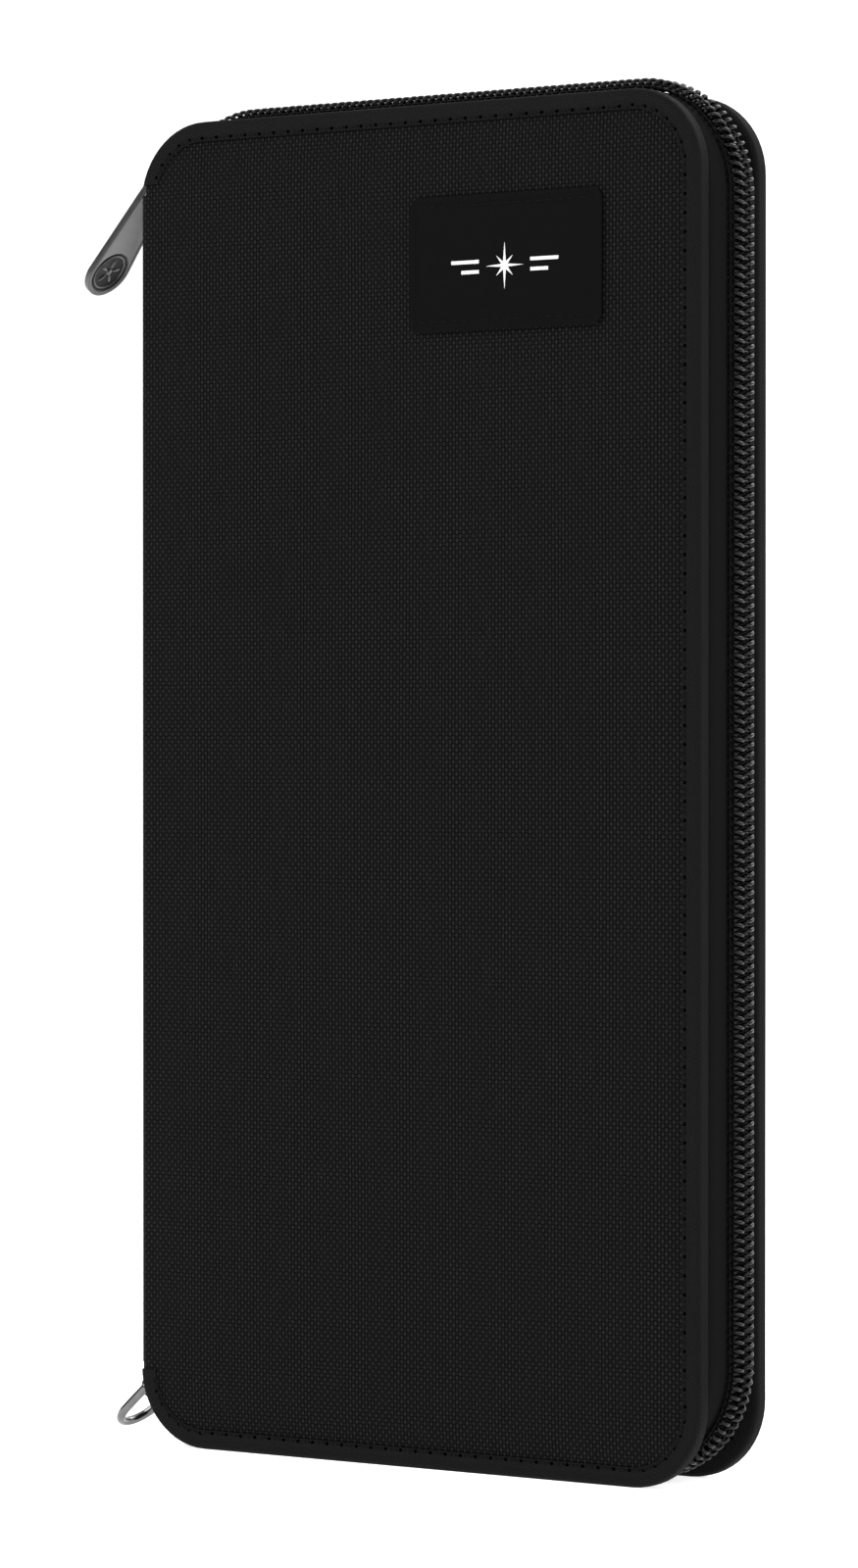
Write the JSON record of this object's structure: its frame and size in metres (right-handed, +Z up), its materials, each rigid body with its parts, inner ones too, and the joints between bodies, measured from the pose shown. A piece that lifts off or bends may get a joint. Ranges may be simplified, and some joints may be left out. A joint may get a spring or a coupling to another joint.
{
  "type": "zip-around travel wallet",
  "caption": "Upright zip-around travel document wallet with two stiff fabric covers, a bound edge, a coil zip with a long pull tab, a label patch and a D-ring at the spine.",
  "frame": {"origin": "middle of the back cover's bottom edge, where the wallet stands", "axes": "+Z up along the covers' height, +X from the spine to the zipped side, +Y from the front cover to the back cover"},
  "size_m": [0.1469, 0.0222, 0.2479],
  "materials": {
    "outer_fabric": "black plain-weave polyester",
    "stiffener": "grey stiffener board",
    "lining_fabric": "dark grey fine nylon lining",
    "binding_tape": "black twill binding tape",
    "zip_tape": "black herringbone zip tape",
    "zip_coil": "glossy black nylon coil",
    "label_fabric": "fine black woven patch",
    "webbing": "black ribbed webbing",
    "clear_film": "clear soft film",
    "dark_nickel": "dark nickel plated zinc",
    "ring_steel": "nickel plated steel wire"
  },
  "bodies": {
    "back_cover": {"back_panel": "outer_fabric", "back_board": "stiffener", "back_lining": "lining_fabric", "back_binding": "binding_tape", "back_zip_tape": "zip_tape", "back_zip_coil": "zip_coil", "back_zip_stops": "zip_coil", "document_pocket": "lining_fabric", "passport_pocket": "lining_fabric", "coin_pocket": "lining_fabric", "coin_zip_tape": "zip_tape", "coin_zip_coil": "zip_coil"},
    "spine": {"spine_panel": "outer_fabric", "spine_board": "stiffener", "spine_lining": "lining_fabric", "d_ring_loop": "webbing"},
    "front_cover": {"front_panel": "outer_fabric", "front_board": "stiffener", "front_lining": "lining_fabric", "front_binding": "binding_tape", "front_zip_tape": "zip_tape", "front_zip_coil": "zip_coil", "front_zip_stops": "zip_coil", "label_patch": "label_fabric", "boarding_pass_pocket": "lining_fabric", "card_pocket_1": "lining_fabric", "card_pocket_2": "lining_fabric", "card_pocket_3": "lining_fabric", "card_pocket_4": "lining_fabric", "window_frame": "binding_tape", "clear_window": "clear_film", "pen_loop": "webbing"},
    "slider": {"slider_body": "dark_nickel"},
    "pull": {"pull_tab": "dark_nickel"},
    "ring": {"d_ring": "ring_steel"},
    "coin_slider_body": {"coin_slider": "dark_nickel"},
    "coin_pull_body": {"coin_pull": "dark_nickel"}
  },
  "joints": [
    {"name": "spine_fold", "type": "hinge", "parent": "back_cover", "child": "spine", "pos_m": [-0.0624, 0.0013, 0.12], "axis": [0, 0, -1], "range_deg": [0, 90]},
    {"name": "front_fold", "type": "hinge", "parent": "spine", "child": "front_cover", "pos_m": [-0.0624, -0.0199, 0.12], "axis": [0, 0, -1], "range_deg": [0, 90]},
    {"name": "slider_run", "type": "hinge", "parent": "spine", "child": "slider", "pos_m": [-0.042, -0.0093, 0.2267], "axis": [0, 1, 0], "range_deg": [0, 46]},
    {"name": "pull_swing", "type": "hinge", "parent": "slider", "child": "pull", "pos_m": [-0.06396, -0.0093, 0.23789], "axis": [0, 1, 0], "range_deg": [-12, 130]},
    {"name": "ring_swing", "type": "hinge", "parent": "spine", "child": "ring", "pos_m": [-0.0654, -0.0093, 0.0098], "axis": [0, 1, 0], "range_deg": [-11, 80]},
    {"name": "coin_slider_run", "type": "slide", "parent": "back_cover", "child": "coin_slider_body", "axis": [-1, 0, 0], "range_m": [0, 0.083]},
    {"name": "coin_pull_lift", "type": "hinge", "parent": "coin_slider_body", "child": "coin_pull_body", "pos_m": [0.0415, -0.00681, 0.21656], "axis": [0, 0, 1], "range_deg": [0, 45]}
  ],
  "couplings": [
    {"joint": "front_fold", "follows": "spine_fold", "ratio": 1}
  ]
}
